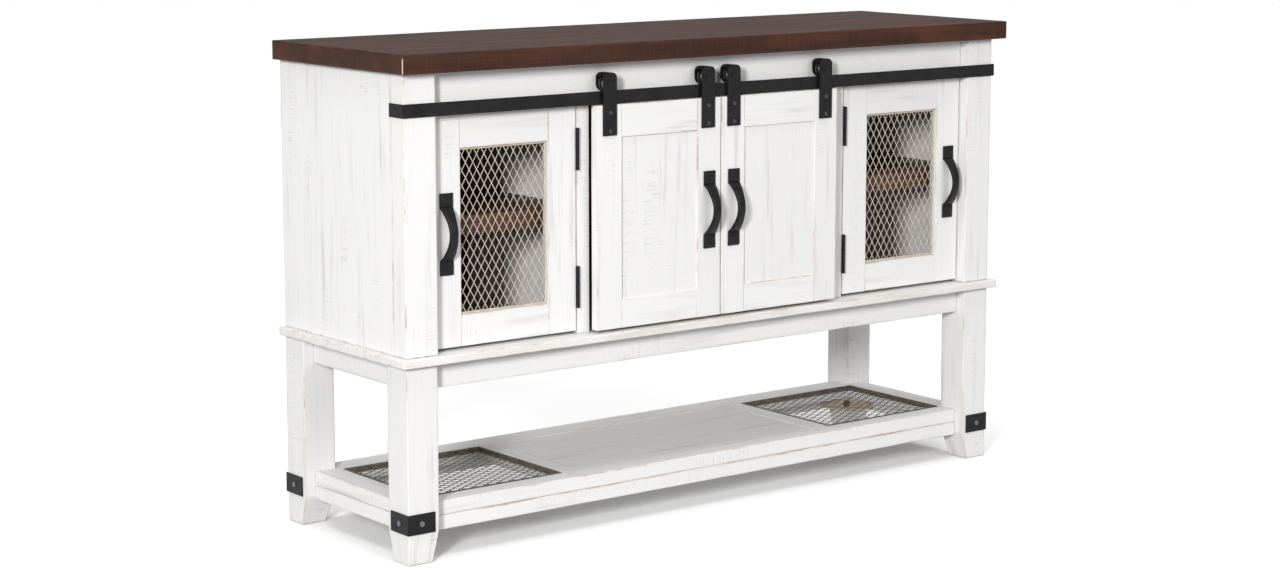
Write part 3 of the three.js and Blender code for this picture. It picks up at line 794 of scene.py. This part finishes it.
def pull_path(height, reach):
    """Stations from the lower end to the upper one: height, distance from the door, half width
    and half thickness."""
    pad = [(t, PAD_HALF, PULL_PAD / 2, PAD_HALF) for t in np.linspace(0, PULL_PAD - 2, PAD_RINGS)]
    grip = []
    for i in range(GRIP_STEPS + 1):
        t = i / GRIP_STEPS
        arch = math.sin(math.pi * t)
        neck = PULL_MID + (PULL_PAD - PULL_MID) * (1 - arch ** 0.55)
        thick = PAD_HALF + (PULL_THICK / 2 - PAD_HALF) * min(1, arch * 3)
        grip.append((PULL_PAD - 1 + (height - 2 * PULL_PAD + 2) * t,
                     PAD_HALF + (reach - PAD_HALF - PULL_THICK / 2) * arch ** 0.8, neck / 2,
                     thick))
    return pad + grip + [(height - t, *rest) for t, *rest in reversed(pad)]


def forged_pull(name, node):
    """A hand-forged pull: a pad at each end, a bowed grip between them, a screw in each pad."""
    (x0, x1), (y0, y1), (z0, z1) = spans(node)
    cx, height, reach = (x0 + x1) / 2, z1 - z0, y1 - y0
    path = pull_path(height, reach)
    rings = []
    for i, (z, y, half, thick) in enumerate(path):
        before, after = path[max(i - 1, 0)], path[min(i + 1, len(path) - 1)]
        tangent = Vector((0, -(after[1] - before[1]), after[0] - before[0])).normalized()
        normal = Vector((0, -tangent.z, tangent.y))
        ring = []
        for a, b in PULL_SECTION:
            p = Vector((cx + a * half, y1 - y, z0 + z)) + normal * (b * thick)
            p.y = min(p.y, y1)
            p += noise.noise_vector(p * 0.11 + Vector((cx, 0, 0))) * 0.35
            ring.append(p * MM)
        rings.append(ring)
    verts, faces = [], []
    add_bar(verts, faces, rings)
    for z in (PULL_PAD / 2, height - PULL_PAD / 2):
        add_bar(verts, faces, [
            [Vector((cx + r * math.cos(a), y1 - PULL_SCREW_Y - h, z0 + z + r * math.sin(a))) * MM
             for a in circle(16)] for r, h in PULL_SCREW])
    piece = finish_piece(name, verts, faces, BLACK, BODY_OF[node], "black_steel")
    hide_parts(node)


for side, _ in SIDES:
    forged_pull(f"mesh_pull_{side}", f"mesh_door_pull_{side}")
    forged_pull(f"barn_pull_{side}", f"barn_door_pull_{side}")

# ---------- hardware that keeps its CAD shape ----------


def soften(piece, width, material=BLACK):
    """Black steel with its arrises broken, so that they catch the light."""
    piece.material_slots[0].material = material
    weld = piece.modifiers.new("weld", "WELD")
    weld.merge_threshold = 1e-5
    bevel = piece.modifiers.new("bevel", "BEVEL")
    bevel.width = width * MM
    bevel.segments = 2
    bevel.limit_method = "ANGLE"
    bevel.angle_limit = math.radians(40)


for node, piece in sorted(NODES.items()):
    if piece.hide_render:
        continue
    if node.startswith("roller"):
        soften(piece, 0.5, TURNED)
    elif node.startswith("axle"):
        soften(piece, 0.3)
    else:
        soften(piece, 0.7)

# ---------- studio ----------

AIM = Vector((0, 0, 0.6))
FLOOR_REACH = 40
scene = bpy.context.scene
scene.view_settings.view_transform = "Standard"


def lamp(kind, name, at, power, **settings):
    """A light at a point, aimed at the middle of the object."""
    data = bpy.data.lights.new(name, kind)
    data.energy = power
    for key, value in settings.items():
        setattr(data, key, value)
    light = bpy.data.objects.new(name, data)
    light.location = at
    light.rotation_euler = (AIM - Vector(at)).to_track_quat("-Z", "Y").to_euler()
    scene.collection.objects.link(light)


# The key is low at the left front, so that it reaches the inner walls through the mesh doors.
lamp("AREA", "key", (-5.52, -4.4, 2.4), 482, shape="RECTANGLE", size=0.9, size_y=1.3)
lamp("AREA", "broad", (1.5, -6.0, 3.2), 112, shape="RECTANGLE", size=4.0, size_y=2.5)
lamp("SUN", "overhead", (0, 0, 6), 2.1, angle=math.radians(50))

world = bpy.data.worlds.new("studio")
world.use_nodes = True
sky = world.node_tree.nodes["Background"]
sky.inputs["Color"].default_value = (1, 1, 1, 1)
sky.inputs["Strength"].default_value = 0.46
scene.world = world


def make_floor():
    """A pale floor that sends no light back to the object, so that the shade stays soft."""
    s = Shade("pale_floor")
    cloud = s.noise(s.place(), 2.5, 3)
    color = s.mix(s.ramp(cloud, 0.3, 0.7), (0.90, 0.90, 0.90), (0.92, 0.92, 0.92))
    material = s.done(color, s.ramp(cloud, 0.3, 0.7, 0.75, 0.85))
    mesh = bpy.data.meshes.new("floor")
    corners = [(x * FLOOR_REACH, y * FLOOR_REACH, 0)
               for x, y in ((-1, -1), (1, -1), (1, 1), (-1, 1))]
    mesh.from_pydata(corners, [], [(0, 1, 2, 3)])
    mesh.materials.append(material)
    floor = bpy.data.objects.new("floor", mesh)
    floor.location.z = -0.0005
    floor.visible_diffuse = False
    scene.collection.objects.link(floor)


make_floor()
